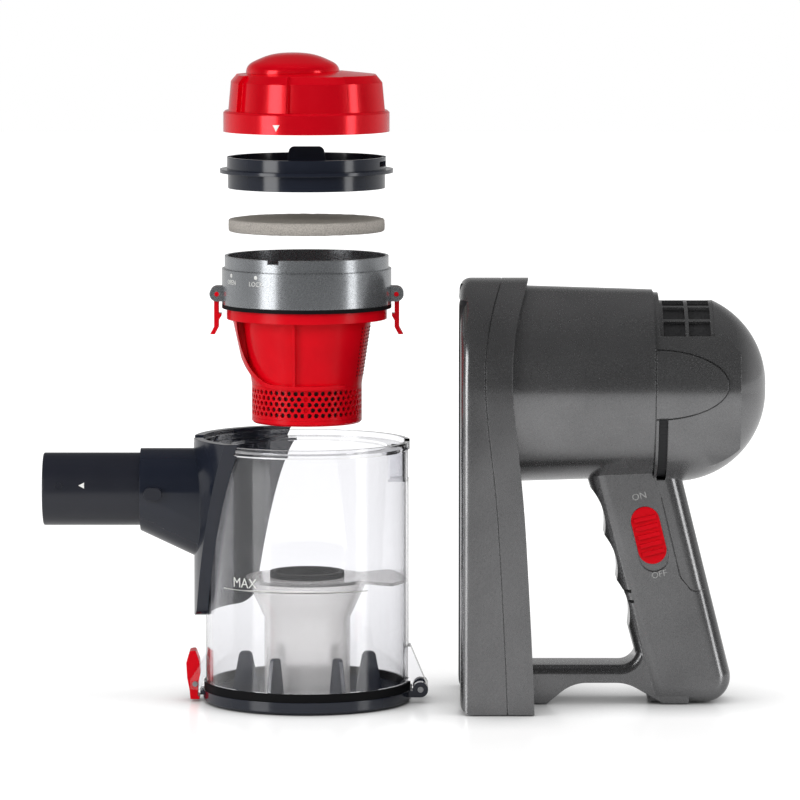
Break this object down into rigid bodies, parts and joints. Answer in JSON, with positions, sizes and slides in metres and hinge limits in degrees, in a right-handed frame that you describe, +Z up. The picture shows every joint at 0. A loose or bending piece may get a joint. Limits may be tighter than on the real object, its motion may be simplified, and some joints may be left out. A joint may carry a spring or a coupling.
{
  "type": "handheld vacuum cleaner",
  "caption": "Cordless handheld vacuum opened for cleaning: clear dust cup with inlet tube, raised cyclone head, foam, filter tray and cap, and a gun-grip motor body beside it.",
  "frame": {"origin": "where the dust cup's axis meets the floor, on the underside of the bottom lid", "axes": "+Z up along the dust cup and the filter stack, +X from the cup towards the motor body, -Y towards the viewer"},
  "size_m": [0.397, 0.116, 0.357],
  "materials": {
    "clear_plastic": "clear, polished",
    "dark_plastic": "satin",
    "lid_plastic": "polished dark",
    "red_metallic": "candy red lacquer",
    "red_plastic": "polished red",
    "grey_metallic": "metallic grey lacquer",
    "black_rubber": "matte",
    "grey_foam": "open-cell foam",
    "filter_paper": "pleated paper",
    "steel": "turned",
    "iron": "laminated",
    "cell_wrap": "shrink sleeve",
    "board": "lacquered board"
  },
  "bodies": {
    "cup": {"dust_cup": "clear_plastic", "hinge_pin": "steel", "latch_pin": "steel", "dust_funnel": "clear_plastic", "funnel_seal": "black_rubber", "inlet_duct": "dark_plastic"},
    "lid": {"bottom_lid": "lid_plastic", "lid_seal": "black_rubber"},
    "latch": {"lid_latch": "red_plastic"},
    "tube": {"inlet_tube": "dark_plastic"},
    "button": {"tube_button": "dark_plastic"},
    "head": {"head_ring": "grey_metallic", "clip_brackets": "grey_metallic", "clip_pins": "steel", "head_seal": "black_rubber", "cyclone_cone": "red_plastic", "cone_mesh": "red_plastic"},
    "right_clip": {"clip_right": "red_plastic"},
    "left_clip": {"clip_left": "red_plastic"},
    "sponge": {"foam_disc": "grey_foam"},
    "tray": {"filter_tray": "dark_plastic", "fine_filter": "filter_paper"},
    "gasket": {"cap_seal": "black_rubber"},
    "cap": {"filter_cap": "red_metallic", "cap_dome": "red_metallic"},
    "motor_body": {"dock_shell": "grey_metallic", "dock_saddle": "dark_plastic", "spine_shell": "grey_metallic", "intake_snout": "black_rubber", "motor_housing": "grey_metallic", "rear_cover": "grey_metallic", "exhaust_grille": "grey_metallic", "exhaust_foam": "grey_foam", "switch_block": "dark_plastic", "fan_shroud": "dark_plastic", "housing_screws": "steel", "motor_can": "steel", "motor_stator": "iron", "motor_bearings": "steel", "motor_mounts": "black_rubber", "battery_cells": "cell_wrap", "battery_frame": "dark_plastic", "control_board": "board", "charge_socket": "dark_plastic"},
    "slider": {"power_slider": "red_plastic"},
    "rotor": {"rotor_shaft": "steel", "rotor_core": "iron", "impeller": "dark_plastic"}
  },
  "joints": [
    {"name": "head_lift", "type": "slide", "parent": "cup", "child": "head", "axis": [0, 0, 1], "range_m": [-0.0761, 0]},
    {"name": "sponge_lift", "type": "slide", "parent": "head", "child": "sponge", "axis": [0, 0, 1], "range_m": [-0.0303, 0]},
    {"name": "tray_lift", "type": "slide", "parent": "sponge", "child": "tray", "axis": [0, 0, 1], "range_m": [-0.015, 0]},
    {"name": "cap_lift", "type": "slide", "parent": "tray", "child": "gasket", "axis": [0, 0, 1], "range_m": [-0.0203, 0]},
    {"name": "cap_twist", "type": "hinge", "parent": "gasket", "child": "cap", "pos_m": [0, 0, 0.33], "axis": [0, 0, -1], "range_deg": [0, 18]},
    {"name": "right_clip_swing", "type": "hinge", "parent": "head", "child": "right_clip", "pos_m": [0.0492, 0, 0.225], "axis": [0, -1, 0], "range_deg": [-4.5, 12]},
    {"name": "left_clip_swing", "type": "hinge", "parent": "head", "child": "left_clip", "pos_m": [-0.0492, 0, 0.225], "axis": [0, 1, 0], "range_deg": [-4.5, 12]},
    {"name": "lid_swing", "type": "hinge", "parent": "cup", "child": "lid", "pos_m": [0.0625, 0, 0.007], "axis": [0, -1, 0], "range_deg": [0, 95]},
    {"name": "latch_swing", "type": "hinge", "parent": "cup", "child": "latch", "pos_m": [-0.0618, 0, 0.0095], "axis": [0, 1, 0], "range_deg": [-6, 10], "stiffness_Nm_per_rad": 0.05},
    {"name": "tube_pull", "type": "slide", "parent": "cup", "child": "tube", "axis": [1, 0, 0], "range_m": [-0.05, 0]},
    {"name": "button_press", "type": "slide", "parent": "cup", "child": "button", "axis": [0, 1, 0], "range_m": [0, 0.0015], "stiffness_N_per_m": 200},
    {"name": "body_dock", "type": "slide", "parent": "cup", "child": "motor_body", "axis": [1, 0, 0], "range_m": [-0.0372, 0]},
    {"name": "power_slide", "type": "slide", "parent": "motor_body", "child": "slider", "axis": [0.2425, 0, -0.9701], "range_m": [0, 0.0042]},
    {"name": "fan_spin", "type": "hinge", "parent": "motor_body", "child": "rotor", "pos_m": [0.15, 0, 0.1755], "axis": [1, 0, 0], "continuous": true}
  ]
}
